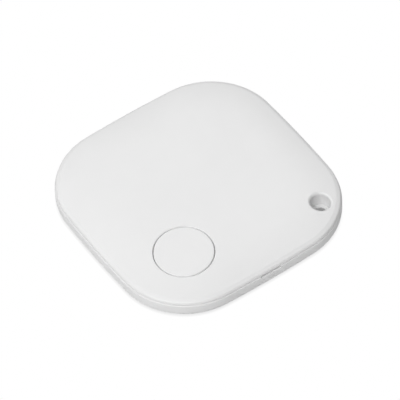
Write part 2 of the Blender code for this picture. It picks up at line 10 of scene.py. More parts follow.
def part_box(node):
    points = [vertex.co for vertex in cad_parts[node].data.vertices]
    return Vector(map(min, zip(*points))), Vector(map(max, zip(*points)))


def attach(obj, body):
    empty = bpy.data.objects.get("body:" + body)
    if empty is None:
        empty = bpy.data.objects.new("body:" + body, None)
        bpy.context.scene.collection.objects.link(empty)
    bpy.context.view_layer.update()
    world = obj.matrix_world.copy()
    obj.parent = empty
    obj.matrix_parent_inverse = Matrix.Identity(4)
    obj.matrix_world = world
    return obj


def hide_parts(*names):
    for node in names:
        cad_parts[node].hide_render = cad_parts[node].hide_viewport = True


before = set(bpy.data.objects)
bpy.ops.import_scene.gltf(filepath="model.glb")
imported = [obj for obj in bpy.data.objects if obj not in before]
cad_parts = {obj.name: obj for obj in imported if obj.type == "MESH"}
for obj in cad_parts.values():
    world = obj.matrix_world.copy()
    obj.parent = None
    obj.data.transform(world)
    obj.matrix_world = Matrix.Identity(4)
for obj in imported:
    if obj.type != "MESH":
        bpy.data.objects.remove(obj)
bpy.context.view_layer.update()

MM = 0.001

# Outline, as in the CAD: corner arcs joined by sides that bow outwards very slightly.
TRAY_LOW, TRAY_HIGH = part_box("bottom_shell")
HALF = (TRAY_HIGH.x - TRAY_LOW.x) / 2
CORNER_RADIUS = 12.9 * MM
SIDE_RADIUS = 230.0 * MM
CORNER_STEPS = 26
SIDE_STEPS = 6
SIDE_SETBACK = SIDE_RADIUS - HALF
ARC_SPACING = SIDE_RADIUS - CORNER_RADIUS
CORNER_AT = (math.sqrt(2 * ARC_SPACING**2 - SIDE_SETBACK**2) - SIDE_SETBACK) / 2
SIDE_TURN = math.atan2(CORNER_AT, CORNER_AT + SIDE_SETBACK)

# Heights.
FLOOR = 0.65 * MM
HOLE_LEDGE = 1.0 * MM
SEAL_LEDGE = 1.55 * MM
BOARD_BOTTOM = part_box("circuit_board")[0].z
BOARD_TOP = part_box("circuit_board")[1].z
SKIRT_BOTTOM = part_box("top_shell")[0].z
SLOT_FLOOR = 2.28 * MM
TRAY_TOP = TRAY_HIGH.z
COVER_BOTTOM = 2.68 * MM
RIM = 3.42 * MM
THICKNESS = 4.45 * MM

# Dome of the cover.
CROWN = 0.45 * MM
FALLOFF = THICKNESS - RIM - CROWN
FALLOFF_START = 0.67
COVER_WALL = 0.6 * MM
COVER_OVERLAP = 0.1 * MM
COVER_STEP = 0.14 * MM
RIM_ROUND = 0.55 * MM
RIM_STEPS = 9
DOME_RINGS = 60
COARSE_DOME_RINGS = 24
# What counts as a face of the dome: near its surface, within this share of the way out, and this level.
ON_DOME = 0.012 * MM
DOME_SHARE = 0.975
DOME_LEVEL = 0.9

# Insets of the walls, and the roundings of the tray's two outer edges.
SIDE_WALL = 1.2 * MM
SKIRT_OUTER = 1.5 * MM
LEDGE_INNER = 2.1 * MM
SKIRT_INNER = 2.15 * MM
BASE_FILLET = 0.94 * MM
TOP_EDGE_ROUND = 0.25 * MM

# Lanyard hole and pry slot.
HOLE_AT = Vector((15.0, -15.0, 0.0)) * MM
HOLE_RADIUS = 1.75 * MM
HOLE_MOUTH_ROUND = 0.5 * MM
HOLE_TUBE_RADIUS = 2.35 * MM
HOLE_LOWER_RADIUS = 1.05 * MM
HOLE_LEAD_IN = 0.3 * MM
HOLE_COLLAR = (2.5 * MM, 2.9 * MM)
SKIRT_DETOUR = (3.1 * MM, 3.75 * MM)
LEDGE_DETOUR = 3.8 * MM
SLOT_LENGTH = 4.1 * MM
SLOT_DEPTH = 0.85 * MM
SLOT_ROUND = 0.26 * MM

# Button, and the guide around it under the cover.
BUTTON_LOW, BUTTON_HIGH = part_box("button_cap")
BUTTON_AT = Vector(((BUTTON_LOW.x + BUTTON_HIGH.x) / 2, (BUTTON_LOW.y + BUTTON_HIGH.y) / 2, 0))
BUTTON_RADIUS = 5.18 * MM
BUTTON_GAP = 0.09 * MM
BUTTON_EDGE = 0.2 * MM
BUTTON_FLANGE = (3.06 * MM, 3.3 * MM)
BUTTON_FLANGE_RADIUS = 5.9 * MM
BUTTON_BOSS_RADIUS = 1.2 * MM
OPENING_RADIUS = BUTTON_RADIUS + BUTTON_GAP
OPENING_EDGE = 0.22 * MM
GUIDE = (OPENING_RADIUS - 0.2 * MM, OPENING_RADIUS + 0.6 * MM)
GUIDE_BOTTOM = BUTTON_FLANGE[1] + 0.1 * MM
MOUTH_LIFT = 0.004 * MM

# Coin cell and its cradle.
CELL_LOW, CELL_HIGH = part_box("cell_can")
CELL_AT = Vector(((CELL_LOW.x + CELL_HIGH.x) / 2, (CELL_LOW.y + CELL_HIGH.y) / 2, 0))
CELL_RADIUS = (CELL_HIGH.x - CELL_LOW.x) / 2
CAN_WALL = 0.28 * MM
CAN_ROLL = 0.4 * MM
CAN_FACE_DROP = 0.035 * MM
CAN_MARK_AT = CELL_AT + Vector((-5.2, 5.2, 0)) * MM
CAN_MARK_BAR = (2.2 * MM, 0.45 * MM)
CAN_MARK_DEPTH = 0.07 * MM
CRADLE = (10.15 * MM, 10.75 * MM)
CONTACT_TURN = math.radians(225)
CONTACT_GAP = (4 * MM, 3.6 * MM, 2 * MM)

# Sounder.
DISC_LOW, DISC_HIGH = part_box("sounder_disc")
SOUNDER_AT = Vector(((DISC_LOW.x + DISC_HIGH.x) / 2, (DISC_LOW.y + DISC_HIGH.y) / 2, 0))
SOUNDER_RADIUS = (DISC_HIGH.x - DISC_LOW.x) / 2
SOUNDER_SEAT = 3.25 * MM
SEAT_INNER = 6.5 * MM
ELECTRODE_MARGIN = 0.35 * MM

# Posts whose melted heads hold the board.
POST_PLACES = ((-15.5, 14.9), (-5.2, 17.4), (-17.4, -3.9), (16.5, -6.3), (-2.6, -17.3))
BOARD_POSTS = [Vector((x, y, 0)) * MM for x, y in POST_PLACES]
POST_RADIUS = 1.0 * MM
PIN_RADIUS = 0.5 * MM
HEAD_RADIUS = 0.85 * MM
HEAD_HEIGHT = 0.25 * MM
SUNK = 0.2 * MM

# Clip beads on the skirt, and their grooves in the side wall.
BEAD_LENGTH = 4.0 * MM
BEAD_PLACE = 5.5 * MM
BEAD_INSET = 1.3 * MM
BEAD_HEIGHTS = (2.2 * MM, 2.42 * MM)
BEAD_PLAY = 0.05 * MM
GROOVE_LENGTH = 4.4 * MM
GROOVE_INSETS = (0.95 * MM, SIDE_WALL + 0.1 * MM)
CLEARANCE = 0.03 * MM
ROUND_STEPS = 96

# Parts on the board.
CAPACITORS = ["storage_capacitor", "matching_capacitor_1", "matching_capacitor_2"]
CAPACITORS += ["supply_capacitor_1", "supply_capacitor_2", "crystal_capacitor"]
RESISTORS = ["button_resistor", "gate_resistor"]
OTHER_ENDED = ["matching_inductor", "antenna_chip"]
ENDED = CAPACITORS + RESISTORS + OTHER_ENDED
BOARD_NODES = ENDED + ["radio_chip", "main_crystal", "clock_crystal", "boost_inductor", "driver_transistor"]
BOARD_NODES += ["boost_diode", "switch_base"]
BOARD_NODES += ["sounder_spring_rim", "sounder_spring_centre", "positive_contact"]
# Radii around the cell, the hole and each post inside which the board's top has no copper.
CELL_CUTOUT = 10.45 * MM
HOLE_CUTOUT = 4.05 * MM
POST_CUTOUT = 1.0 * MM
# How far the board's bay for the cell reaches from the cell's centre towards -X and -Y.
CELL_BAY = (9.4 * MM, 9.7 * MM)
END_SHARE = 0.2
END_PROUD = 0.012 * MM
PAD_SHARE = 0.3
PAD_BEYOND = 0.22 * MM
PAD_HEIGHT = 0.024 * MM
TERMINALS_PER_SIDE = 10
TERMINAL_HEIGHT = 0.05 * MM
TERMINAL_UNDER = 0.25 * MM
TERMINAL_PROUD = 0.2 * MM
TERMINAL_HALF_SHARE = 0.28
TERMINAL_ROUND = 0.012 * MM
TERMINAL_FREE_CORNERS = 0.5 * MM
LEG_SHEET = 0.12 * MM
LEG_REACH = 0.62 * MM
LEG_SPREAD = 0.95 * MM
LEG_FOOT = 0.08 * MM
LID_START = 0.45
LID_INSET = Vector((0.09, 0.09, 0)) * MM
LID_ROUND = 0.07 * MM
BASE_SHARE = 0.5
BASE_ROUND = 0.05 * MM
CORE_PROUD = 0.12 * MM
CORE_SHARE = 0.42
CORE_BEVEL = 0.03 * MM
INDUCTOR_ROUND = 0.16 * MM
COPPER_HEIGHT = 0.02 * MM
VIA_INSET = 3.2 * MM
VIA_SPACING = 1.35 * MM
VIA = (0.13 * MM, 0.24 * MM)
VIA_MARGIN = 0.3 * MM
TEST_PADS_AT = Vector((-17.3, 2.2, 0)) * MM
TEST_PAD_SPACING = 1.9 * MM
TEST_PAD_RADIUS = 0.55 * MM
TRACK_WIDTH = 0.22 * MM
TRACK_HEIGHT = 0.016 * MM
TRACK_MARGIN = 0.12 * MM
TRACK_STEP = 0.4 * MM
SHORTEST_TRACK = 0.05 * MM
# Tracks between two parts, and how far each is shifted along X, in millimetres.
TRACKS = [
    ("radio_chip", "main_crystal", 0),
    ("radio_chip", "clock_crystal", 0.6),
    ("radio_chip", "matching_capacitor_1", -0.4),
    ("matching_capacitor_1", "matching_inductor", 0),
    ("matching_inductor", "matching_capacitor_2", 0),
    ("matching_capacitor_2", "antenna_chip", 0),
    ("radio_chip", "supply_capacitor_1", 0),
    ("radio_chip", "supply_capacitor_2", 0),
    ("radio_chip", "button_resistor", 0),
    ("switch_base", "button_resistor", 0),
    ("driver_transistor", "gate_resistor", 0),
    ("gate_resistor", "radio_chip", 0.8),
    ("driver_transistor", "boost_inductor", 0),
    ("boost_diode", "driver_transistor", 0),
    ("boost_diode", "supply_capacitor_1", 0.4),
    ("boost_inductor", "sounder_spring_centre", 0),
    ("sounder_spring_rim", "boost_diode", 0.5),
    ("storage_capacitor", "crystal_capacitor", 0),
    ("crystal_capacitor", "main_crystal", 0),
]

# Which CAD nodes wear which look.
NODE_LOOKS = {
    "steel": ["cell_cap"],
    "nickel": ["negative_contact", "positive_contact", "switch_dome", "switch_cover"],
    "gold": ["sounder_spring_rim", "sounder_spring_centre"],
    "brass": ["sounder_disc"],
    "piezo": ["sounder_ceramic"],
    "tape": ["sounder_adhesive"],
    "foam": ["cell_pad"],
    "silicone": ["seal_ring"],
    "board": ["circuit_board"],
    "epoxy": ["radio_chip", "driver_transistor", "boost_diode", *RESISTORS],
    "tan": CAPACITORS,
    "white": [*OTHER_ENDED, "switch_plunger"],
    "black": ["switch_base", "cell_gasket"],
    "lithium": ["cell_anode"],
    "cathode": ["cell_cathode"],
    "film": ["cell_separator"],
}

# Studio paper: its size, its reflectance, its distance below the tag, and the width and tone of the contact
# shadow painted into what the camera sees of it.
PAPER_SIZE = 3.0
PAPER_TONE = 0.78
PAPER_DROP = 0.02 * MM
SHADOW_REACH = 0.6 * MM
SHADOW_TONE = 0.82
# The paper seen through the lanyard hole is enclosed on all sides, and gets painted shade that makes it
# darker.
HOLE_SHADE_REACH = 4.0 * MM
HOLE_SHADE_TONE = 0.33
# Strength of the studio's white surroundings, as diffuse light and as seen in reflections.
WORLD_LIGHT = 0.067
WORLD_MIRRORED = 1.0
# Soft round lights: name, direction they shine from in degrees around, and power in watts.
LIGHTS = [("back_right", 56.5, 2.45), ("back", 101.5, 1.40), ("left", 191.5, 4.52), ("front", 236.5, 4.40)]
LIGHT_RISE = math.radians(50)
LIGHT_SIZE = 0.6
LIGHT_DISTANCE = 1.0

# Camera: its direction and roll, its distance from the aim, and how far the aim is off the tag's middle.
CAMERA_AROUND = math.radians(-33.05)
CAMERA_RISE = math.radians(51.19)
CAMERA_ROLL = math.radians(-2.65)
CAMERA_DISTANCE = 664.5 * MM
CAMERA_LENS = 349.2
SENSOR_WIDTH = 36.0
AIM_HEIGHT = 3.25 * MM
AIM_BESIDE = 0.361 * MM
AIM_BELOW = 1.79 * MM


def outline(inset=0.0):
    """Points around the tag's outline, moved inwards by an inset."""
    quarter = []
    for i in range(SIDE_STEPS):
        angle = -SIDE_TURN + 2 * SIDE_TURN * i / SIDE_STEPS
        radius = SIDE_RADIUS - inset
        quarter.append(Vector((radius * math.cos(angle) - SIDE_SETBACK, radius * math.sin(angle), 0)))
    for i in range(CORNER_STEPS):
        angle = SIDE_TURN + (math.pi / 2 - 2 * SIDE_TURN) * i / CORNER_STEPS
        radius = CORNER_RADIUS - inset
        x, y = CORNER_AT + radius * math.cos(angle), CORNER_AT + radius * math.sin(angle)
        quarter.append(Vector((x, y, 0)))
    turns = [Matrix.Rotation(turn * math.pi / 2, 3, "Z") for turn in range(4)]
    return [turn @ point for turn in turns for point in quarter]


def outline_ring(inset, z, share=1.0):
    return [Vector((p.x * share, p.y * share, z)) for p in outline(inset)]


def reach(x, y):
    """Distance from the centre to the cover's outline in the direction of (x, y)."""
    angle = math.atan2(abs(y), abs(x))
    turn = min(angle, math.pi / 2 - angle)
    middle = CORNER_AT * (math.cos(turn) + math.sin(turn))
    corner = CORNER_RADIUS - COVER_STEP
    far = middle + math.sqrt(middle**2 - 2 * CORNER_AT**2 + corner**2)
    if math.atan2(far * math.sin(turn) - CORNER_AT, far * math.cos(turn) - CORNER_AT) < SIDE_TURN:
        along = SIDE_SETBACK * math.cos(turn)
        far = -along + math.sqrt(along**2 - SIDE_SETBACK**2 + (SIDE_RADIUS - COVER_STEP) ** 2)
    return far


def dome_at_share(share):
    """Height of the dome at a share of the way out to the cover's outline."""
    past = max(0.0, (share - FALLOFF_START) / (1 - FALLOFF_START))
    return THICKNESS - CROWN * share**2 - FALLOFF * past**2


def dome_at(x, y):
    return dome_at_share(math.hypot(x, y) / reach(x, y))


def dome_normal(x, y):
    step = 0.02 * MM
    slope_x = (dome_at(x + step, y) - dome_at(x - step, y)) / (2 * step)
    slope_y = (dome_at(x, y + step) - dome_at(x, y - step)) / (2 * step)
    return Vector((-slope_x, -slope_y, 1)).normalized()


def quarter_turn(steps):
    """Angles from 0 to 90 degrees, both included."""
    return [math.pi / 2 * i / steps for i in range(steps + 1)]


def circle(radius, z, steps=ROUND_STEPS):
    angles = [2 * math.pi * i / steps for i in range(steps)]
    return [Vector((radius * math.cos(a), radius * math.sin(a), z)) for a in angles]


def new_object(name, bm, turn_outward=True):
    mesh = bpy.data.meshes.new(name)
    if turn_outward:
        bmesh.ops.recalc_face_normals(bm, faces=bm.faces)
    bm.to_mesh(mesh)
    bm.free()
    made = bpy.data.objects.new(name, mesh)
    bpy.context.scene.collection.objects.link(made)
    return made


def smooth(piece, angle=30.0):
    piece.data.shade_smooth()
    piece.data.set_sharp_from_angle(angle=math.radians(angle))
    return piece


def bridge(bm, loops, closed=False):
    """Joins loops of vertices with bands of faces, and caps both ends unless closed on itself."""
    following = loops[1:] + loops[:1] if closed else loops[1:]
    for near, far in zip(loops, following):
        for i in range(len(near)):
            j = (i + 1) % len(near)
            bm.faces.new((near[i], near[j], far[j], far[i]))
    if not closed:
        bm.faces.new(loops[0])
        bm.faces.new(loops[-1])


def loft(name, rings):
    bm = bmesh.new()
    bridge(bm, [[bm.verts.new(p) for p in ring] for ring in rings])
    return new_object(name, bm)


def add_turned(bm, at, profile, closed=False, steps=20):
    """Adds a round solid on an upright axis, from the radii and heights of its profile."""
    centre = Vector((at.x, at.y, 0))
    loops = [[bm.verts.new(p + centre) for p in circle(radius, z, steps)] for radius, z in profile]
    bridge(bm, loops, closed)


def turned(name, at, profile, closed=False, steps=ROUND_STEPS):
    bm = bmesh.new()
    add_turned(bm, at, profile, closed, steps)
    return new_object(name, bm)


def cylinder(name, at, radius, low, high):
    return turned(name, at, [(radius, low), (radius, high)])


def tube(name, at, radii, low, high):
    inner, outer = radii
    return turned(name, at, [(inner, low), (outer, low), (outer, high), (inner, high)], closed=True)


def prism(name, inset, low, high):
    return loft(name, [outline_ring(inset, low), outline_ring(inset, high)])


def box(name, at, size, low, turn=0.0):
    bm = bmesh.new()
    bmesh.ops.create_cube(bm, size=1)
    bmesh.ops.scale(bm, vec=size, verts=bm.verts)
    bmesh.ops.rotate(bm, matrix=Matrix.Rotation(turn, 3, "Z"), verts=bm.verts)
    bmesh.ops.translate(bm, vec=(at[0], at[1], low + size[2] / 2), verts=bm.verts)
    return new_object(name, bm)


def soft_box(bm, low, high, edge):
    """Adds a box between two corners with all its edges rounded."""
    made = bmesh.ops.create_cube(bm, size=1)["verts"]
    bmesh.ops.scale(bm, vec=high - low, verts=made)
    bmesh.ops.translate(bm, vec=(low + high) / 2, verts=made)
    edges = {e for v in made for e in v.link_edges}
    bmesh.ops.bevel(bm, geom=list(edges), offset=edge, segments=2, profile=0.5, affect="EDGES")


def combined(name, tools):
    """Several separate solids as one object."""
    bm = bmesh.new()
    for tool in tools:
        bm.from_mesh(tool.data)
        bpy.data.objects.remove(tool)
    return new_object(name, bm, turn_outward=False)


def shape(target, operation, *tools):
    """Applies an exact Boolean of the target with the tools, and removes the tools."""
    tool = tools[0] if len(tools) == 1 else combined("tool", tools)
    modifier = target.modifiers.new("shape", "BOOLEAN")
    modifier.operation = operation
    modifier.solver = "EXACT"
    modifier.object = tool
    bpy.context.view_layer.update()
    evaluated = target.evaluated_get(bpy.context.evaluated_depsgraph_get())
    mesh = bpy.data.meshes.new_from_object(evaluated)
    target.modifiers.clear()
    target.data = mesh
    bpy.data.objects.remove(tool)


def cut(target, *tools):
    shape(target, "DIFFERENCE", *tools)


def join(target, *tools):
    shape(target, "UNION", *tools)


def set_dome_normals(piece):
    """Gives the faces on the dome the dome's own normals, so that cuts don't show in the shading."""
    mesh = piece.data
    on_dome = []
    for v in mesh.vertices:
        x, y, z = v.co
        away = math.hypot(x, y)
        inside = away < 1e-5 or away < DOME_SHARE * reach(x, y)
        on_dome.append(inside and z > RIM and abs(z - dome_at(x, y)) < ON_DOME)
    normals = [Vector(n.vector) for n in mesh.corner_normals]
    for polygon in mesh.polygons:
        if polygon.normal.z < DOME_LEVEL or not all(on_dome[i] for i in polygon.vertices):
            continue
        for corner in polygon.loop_indices:
            co = mesh.vertices[mesh.loops[corner].vertex_index].co
            normals[corner] = dome_normal(co.x, co.y)
    mesh.normals_split_custom_set([tuple(n) for n in normals])


def dome_body(name, low, drop=0.0, count=DOME_RINGS):
    """A solid under the dome with a rounded rim, from a height up to the dome or a drop below it."""
    slope = (2 * CROWN + 2 * FALLOFF / (1 - FALLOFF_START)) / HALF
    lean = math.atan(slope)
    rim_width = RIM_ROUND * (1 - math.sin(lean))
    last = 1 - rim_width / HALF
    # Rings lie closer together towards the rim, where the dome falls off.
    shares = [last * (0.01 + 0.99 * (i / count) ** 0.9) for i in range(count)]
    rings = [outline_ring(COVER_STEP, dome_at_share(share) - drop, share) for share in shares]
    centre = RIM - slope * rim_width - RIM_ROUND * math.cos(lean)
    lowest = low + 0.02 * MM
    for i in range(RIM_STEPS + 1):
        angle = lean + (math.pi / 2 - lean) * i / RIM_STEPS
        z = centre + RIM_ROUND * math.cos(angle) - drop
        if z < lowest:
            break
        rings.append(outline_ring(COVER_STEP + RIM_ROUND * (1 - math.sin(angle)), z))
    rings.append(outline_ring(COVER_STEP, low))
    return loft(name, rings)


def seal_path_wall(name, insets, detours, low, high):
    """A wall that follows the outline, and passes the lanyard hole on its inner side."""
    wall = prism(name, insets[0], low, high)
    cut(wall, cylinder("tool", HOLE_AT, detours[0], low - MM, high + MM))
    inside = prism(name + "_inside", insets[1], low - MM, high + MM)
    cut(inside, cylinder("tool", HOLE_AT, detours[1], low - 2 * MM, high + 2 * MM))
    cut(wall, inside)
    return wall


def at_clip_places(insets, heights, length):
    """Two bars on each side, between two insets and two heights."""
    made = []
    outer, inner = insets
    low, high = heights
    for side in range(4):
        turn = side * math.pi / 2
        for shift in (-BEAD_PLACE, BEAD_PLACE):
            bow = SIDE_RADIUS - math.sqrt(SIDE_RADIUS**2 - shift**2)
            away = HALF - bow - (outer + inner) / 2
            at = Matrix.Rotation(turn, 3, "Z") @ Vector((away, shift, 0))
            made.append(box("tool", at, (inner - outer, length, high - low), low, turn))
    return made


def following_dome(name, at, profile):
    """A round solid from radii and heights, where a height marked True is measured from the dome."""
    rings = []
    for radius, z, from_dome in profile:
        ring = []
        for p in circle(radius, 0):
            x, y = p.x + at.x, p.y + at.y
            ring.append(Vector((x, y, dome_at(x, y) + z if from_dome else z)))
        rings.append(ring)
    return loft(name, rings)


def mouth_profile(radius, edge):
    """Profile of a cutter for an opening with a rounded mouth."""
    profile = [(radius, 0, False)]
    for angle in quarter_turn(7):
        height = edge * (math.sin(angle) - 1) + MOUTH_LIFT
        profile.append((radius + edge * (1 - math.cos(angle)), height, True))
    profile.append((radius + edge, MM, True))
    return profile


def make_cover():
    shell = dome_body("cover_skin", COVER_BOTTOM)
    hollow = dome_body("tool", BOARD_TOP, COVER_WALL, COARSE_DOME_RINGS)
    shape(hollow, "INTERSECT", prism("tool", SKIRT_OUTER + COVER_OVERLAP, 0, THICKNESS))
    cut(shell, hollow)
    skirt = seal_path_wall("skirt", (SKIRT_OUTER, SKIRT_INNER), SKIRT_DETOUR, SKIRT_BOTTOM, THICKNESS)
    seat = tube("seat", SOUNDER_AT, (SEAT_INNER, SOUNDER_RADIUS), SOUNDER_SEAT, THICKNESS)
    hole_tube = cylinder("hole_tube", HOLE_AT, HOLE_TUBE_RADIUS, HOLE_LEDGE + CLEARANCE, THICKNESS)
    guide = tube("guide", BUTTON_AT, GUIDE, GUIDE_BOTTOM, THICKNESS)
    features = combined("features", (skirt, seat, hole_tube, guide))
    shape(features, "INTERSECT", dome_body("tool", 0, COVER_WALL / 2, COARSE_DOME_RINGS))
    join(shell, features)
    join(shell, *at_clip_places((BEAD_INSET, SKIRT_INNER - SUNK), BEAD_HEIGHTS, BEAD_LENGTH))
    bore = following_dome("tool", HOLE_AT, mouth_profile(HOLE_RADIUS, HOLE_MOUTH_ROUND))
    mouth = following_dome("tool", BUTTON_AT, mouth_profile(OPENING_RADIUS, OPENING_EDGE))
    cut(shell, bore, mouth)
    smooth(shell)
    set_dome_normals(shell)
    return shell


def make_button():
    low, high = BUTTON_FLANGE
    inner = BUTTON_RADIUS - BUTTON_EDGE
    profile = [(BUTTON_BOSS_RADIUS, BUTTON_LOW.z, False), (BUTTON_BOSS_RADIUS, low, False)]
    profile += [(BUTTON_FLANGE_RADIUS, low, False), (BUTTON_FLANGE_RADIUS, high, False)]
    profile.append((BUTTON_RADIUS, high, False))
    for angle in quarter_turn(7):
        profile.append((inner + BUTTON_EDGE * math.cos(angle), -BUTTON_EDGE * (1 - math.sin(angle)), True))
    for i in range(1, 14):
        profile.append((inner * (1 - i / 14), 0, True))
    return smooth(following_dome("button_skin", BUTTON_AT, profile))


def make_tray():
    rings = []
    for angle in quarter_turn(12):
        rings.append(outline_ring(BASE_FILLET * (1 - math.sin(angle)), BASE_FILLET * (1 - math.cos(angle))))
    for angle in quarter_turn(8):
        inset = TOP_EDGE_ROUND * (1 - math.cos(angle))
        rings.append(outline_ring(inset, TRAY_TOP - TOP_EDGE_ROUND * (1 - math.sin(angle))))
    shell = loft("tray_skin", rings)
    above = TRAY_TOP + MM
    hollow = prism("hollow", LEDGE_INNER, FLOOR, above)
    cut(hollow, cylinder("tool", HOLE_AT, LEDGE_DETOUR, 0, above + MM))
    cut(shell, prism("tool", SIDE_WALL, SEAL_LEDGE, above))
    cut(shell, hollow)
    join(shell, tube("tool", HOLE_AT, HOLE_COLLAR, HOLE_LEDGE, TRAY_TOP - CLEARANCE))
    cut(shell, cylinder("tool", HOLE_AT, HOLE_COLLAR[0], HOLE_LEDGE, above))
    # The lead-in is a cone that passes the tray's underside.
    bore = [(HOLE_LOWER_RADIUS + 2 * HOLE_LEAD_IN, -HOLE_LEAD_IN), (HOLE_LOWER_RADIUS, HOLE_LEAD_IN)]
    cut(shell, turned("tool", HOLE_AT, bore + [(HOLE_LOWER_RADIUS, above)]))
    cut(shell, slot_cutter())
    groove_heights = (BEAD_HEIGHTS[0] - BEAD_PLAY, BEAD_HEIGHTS[1] + BEAD_PLAY)
    cut(shell, *at_clip_places(GROOVE_INSETS, groove_heights, GROOVE_LENGTH))
    join(shell, *board_posts())
    join(shell, cell_cradle())
    return smooth(shell)


def slot_cutter():
    """Cutter for the pry slot, whose floor rounds over into the side wall."""
    profile = [(-HALF + SLOT_DEPTH, SLOT_FLOOR)]
    for angle in quarter_turn(6):
        away, down = SLOT_ROUND * (1 - math.sin(angle)), SLOT_ROUND * (1 - math.cos(angle))
        profile.append((-HALF + away, SLOT_FLOOR - down))
    profile.append((-HALF - MM, SLOT_FLOOR - SLOT_ROUND))
    profile.append((-HALF - MM, TRAY_TOP + MM))
    profile.append((-HALF + SLOT_DEPTH, TRAY_TOP + MM))
    ends = (-SLOT_LENGTH / 2, SLOT_LENGTH / 2)
    return loft("tool", [[Vector((x, y, z)) for y, z in profile] for x in ends])


def board_posts():
    """Posts under the board, with a pin through it and a melted head on top."""
    shoulder = BOARD_BOTTOM - CLEARANCE
    head = BOARD_TOP + CLEARANCE
    profile = [(POST_RADIUS, FLOOR - SUNK), (POST_RADIUS, shoulder)]
    profile += [(PIN_RADIUS, shoulder), (PIN_RADIUS, head), (HEAD_RADIUS, head)]
    for angle in quarter_turn(5)[:-1]:
        radius = HEAD_RADIUS * math.cos(angle) + 0.02 * MM
        profile.append((radius, head + HEAD_HEIGHT * math.sin(angle) + 0.01 * MM))
    return [turned("tool", at, profile, steps=32) for at in BOARD_POSTS]


def cell_cradle():
    """A low ring around the cell, open where the side contact comes through."""
    cradle = tube("cradle", CELL_AT, CRADLE, FLOOR - SUNK, BOARD_BOTTOM - 0.1 * MM)
    gap_at = CELL_AT + Vector((math.cos(CONTACT_TURN), math.sin(CONTACT_TURN), 0)) * CRADLE[0]
    cut(cradle, box("tool", gap_at, CONTACT_GAP, 0, CONTACT_TURN))
    return cradle


def end_boxes(low, high, share, beyond=0.0):
    """Corners of the boxes at the two ends of a chip's longer side, which may reach past the chip."""
    axis = 0 if high.x - low.x > high.y - low.y else 1
    length = (high[axis] - low[axis]) * share
    first_low, first_high = low.copy(), high.copy()
    first_low[axis] = low[axis] - beyond
    first_high[axis] = low[axis] + length
    last_low, last_high = low.copy(), high.copy()
    last_low[axis] = high[axis] - length
    last_high[axis] = high[axis] + beyond
    return (first_low, first_high), (last_low, last_high)


def chip_ends():
    """Plated metal caps on both ends of the two-terminal chips."""
    bm = bmesh.new()
    for node in ENDED:
        for low, high in end_boxes(*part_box(node), END_SHARE):
            low -= Vector((END_PROUD, END_PROUD, 0))
            high += Vector((END_PROUD, END_PROUD, END_PROUD))
            soft_box(bm, low, high, 2.5 * END_PROUD)
    return smooth(new_object("chip_ends", bm))


def solder_pads():
    """Tinned pads on the board under both ends of each chip, with a little of each showing past it."""
    bm = bmesh.new()
    for node in ENDED + ["boost_inductor"]:
        for low, high in end_boxes(*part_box(node), PAD_SHARE, PAD_BEYOND):
            low.z = BOARD_TOP
            high.z = BOARD_TOP + PAD_HEIGHT
            soft_box(bm, low, high, PAD_HEIGHT / 3)
    return smooth(new_object("solder_pads", bm))


def chip_terminals():
    """The row of small solder terminals along each side of the radio chip."""
    low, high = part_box("radio_chip")
    middle = (low + high) / 2
    out = (high.x - low.x) / 2
    pitch = (high.x - low.x - TERMINAL_FREE_CORNERS) / TERMINALS_PER_SIDE
    half = pitch * TERMINAL_HALF_SHARE
    bm = bmesh.new()
    for side in range(4):
        turn = Matrix.Rotation(side * math.pi / 2, 3, "Z")
        for i in range(TERMINALS_PER_SIDE):
            shift = (i - (TERMINALS_PER_SIDE - 1) / 2) * pitch
            near = turn @ Vector((out - TERMINAL_UNDER, shift - half, 0))
            far = turn @ Vector((out + TERMINAL_PROUD, shift + half, 0))
            foot = Vector((middle.x, middle.y, BOARD_TOP))
            corner_low = foot + Vector((min(near.x, far.x), min(near.y, far.y), 0))
            corner_high = foot + Vector((max(near.x, far.x), max(near.y, far.y), TERMINAL_HEIGHT))
            soft_box(bm, corner_low, corner_high, TERMINAL_ROUND)
    return smooth(new_object("radio_chip_terminals", bm))


def bent_leg(bm, root, out, width, drop):
    """A gull-wing leg: out of the body, down, and flat along the board."""
    path = [(-0.1, 0), (0.22, 0), (0.34, -0.12), (0.42, -1), (0.56, -1.12), (0.95, -1.12)]
    points = [Vector((x * LEG_REACH, max(z, -1) * drop)) for x, z in path]
    across = out.cross(Vector((0, 0, 1)))
    loops = []
    for i, p in enumerate(points):
        before = points[max(i - 1, 0)]
        after = points[min(i + 1, len(points) - 1)]
        way = (after - before).normalized()
        normal = Vector((-way.y, way.x)) * LEG_SHEET / 2
        ring = []
        for side, face in ((-1, 1), (1, 1), (1, -1), (-1, -1)):
            q = p + normal * face
            ring.append(bm.verts.new(root + out * q.x + Vector((0, 0, q.y)) + across * side * width / 2))
        loops.append(ring)
    bridge(bm, loops)


def chip_legs():
    """Three legs on the transistor and two on the diode."""
    bm = bmesh.new()
    legs = {"driver_transistor": (0.42 * MM, (-LEG_SPREAD, LEG_SPREAD)), "boost_diode": (0.4 * MM, (0,))}
    for node, (width, front_shifts) in legs.items():
        low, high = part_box(node)
        middle = (low + high) / 2
        drop = middle.z - BOARD_TOP - LEG_FOOT
        bent_leg(bm, Vector((middle.x, high.y, middle.z)), Vector((0, 1, 0)), width, drop)
        for shift in front_shifts:
            bent_leg(bm, Vector((middle.x + shift, low.y, middle.z)), Vector((0, -1, 0)), width, drop)
    return smooth(new_object("chip_legs", bm))


